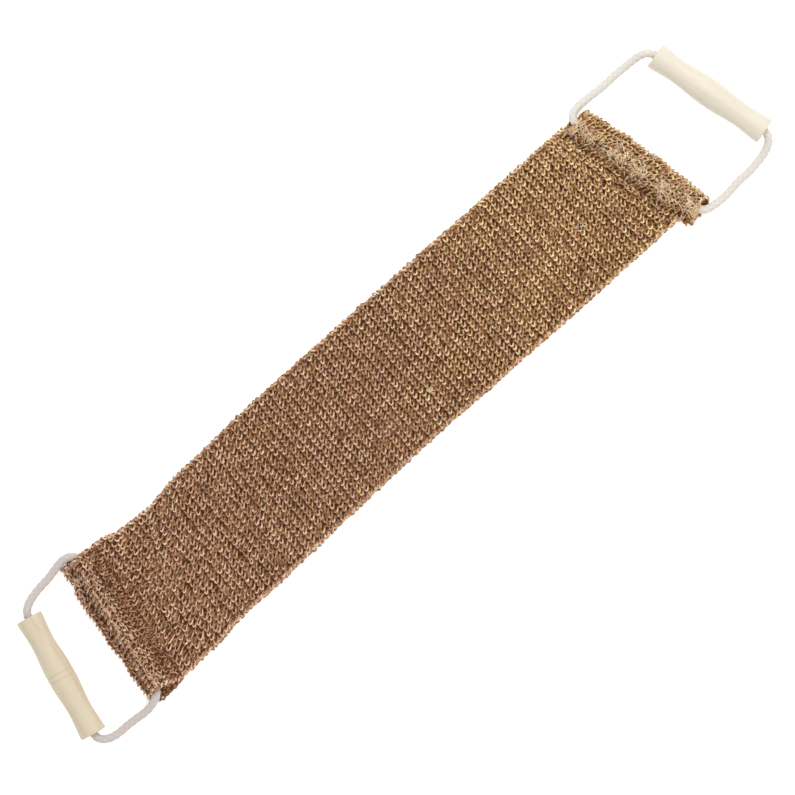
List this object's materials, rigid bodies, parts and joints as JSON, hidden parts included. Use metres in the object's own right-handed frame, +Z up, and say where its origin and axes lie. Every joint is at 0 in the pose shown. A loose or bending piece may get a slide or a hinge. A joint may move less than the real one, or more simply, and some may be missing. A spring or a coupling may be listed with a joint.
{
  "type": "loofah back strap scrubber",
  "caption": "Knitted loofah back-scrubbing strap whose hemmed ends hold braided cord loops, each threaded through a turned wooden hand grip.",
  "frame": {"origin": "middle of the whole object, on the plane it lies on", "axes": "+X along the belt towards the end with the longer cord loop, +Y across the belt, +Z up off the surface it lies on"},
  "size_m": [0.7027, 0.1382, 0.0216],
  "materials": {
    "knit": "coarse marled plant-fibre yarn in garter stitch, matte",
    "seam_yarn": "the same marled yarn, sewn over the hem seams",
    "cord": "off-white braided cotton, matte",
    "turned_wood": "pale bare wood, finely sanded, satin"
  },
  "bodies": {
    "belt_middle": {"belt_centre": "knit"},
    "left_inner": {"belt_left_inner": "knit"},
    "left_outer": {"belt_left_outer": "knit", "hem_left": "knit", "hem_stitching_left": "seam_yarn"},
    "left_loop": {"cord_left": "cord", "cord_binding_left": "cord"},
    "left_grip": {"handle_left": "turned_wood"},
    "right_inner": {"belt_right_inner": "knit"},
    "right_outer": {"belt_right_outer": "knit", "hem_right": "knit", "hem_stitching_right": "seam_yarn"},
    "right_loop": {"cord_right": "cord", "cord_binding_right": "cord"},
    "right_grip": {"handle_right": "turned_wood"}
  },
  "joints": [
    {"name": "left_inner_bend", "type": "hinge", "parent": "belt_middle", "child": "left_inner", "pos_m": [-0.052, 0, 0.0055], "axis": [0, 1, 0], "range_deg": [0, 60]},
    {"name": "left_outer_bend", "type": "hinge", "parent": "left_inner", "child": "left_outer", "pos_m": [-0.152, 0, 0.0055], "axis": [0, 1, 0], "range_deg": [0, 60]},
    {"name": "left_loop_swing", "type": "hinge", "parent": "left_outer", "child": "left_loop", "pos_m": [-0.27242, 0.003, 0.00715], "axis": [0.2028, 0.9792, 0], "range_deg": [0, 160]},
    {"name": "left_grip_spin", "type": "hinge", "parent": "left_loop", "child": "left_grip", "pos_m": [-0.33022, 0.00353, 0.0108], "axis": [-0.2233, -0.9748, 0], "continuous": true},
    {"name": "right_inner_bend", "type": "hinge", "parent": "belt_middle", "child": "right_inner", "pos_m": [0.052, 0, 0.0055], "axis": [0, -1, 0], "range_deg": [0, 60]},
    {"name": "right_outer_bend", "type": "hinge", "parent": "right_inner", "child": "right_outer", "pos_m": [0.152, 0, 0.0055], "axis": [0, -1, 0], "range_deg": [0, 60]},
    {"name": "right_loop_swing", "type": "hinge", "parent": "right_outer", "child": "right_loop", "pos_m": [0.25183, -0.002, 0.00715], "axis": [0.2198, -0.9755, 0], "range_deg": [0, 160]},
    {"name": "right_grip_spin", "type": "hinge", "parent": "right_loop", "child": "right_grip", "pos_m": [0.33, 0.00137, 0.0108], "axis": [-0.2267, 0.974, 0], "continuous": true}
  ]
}
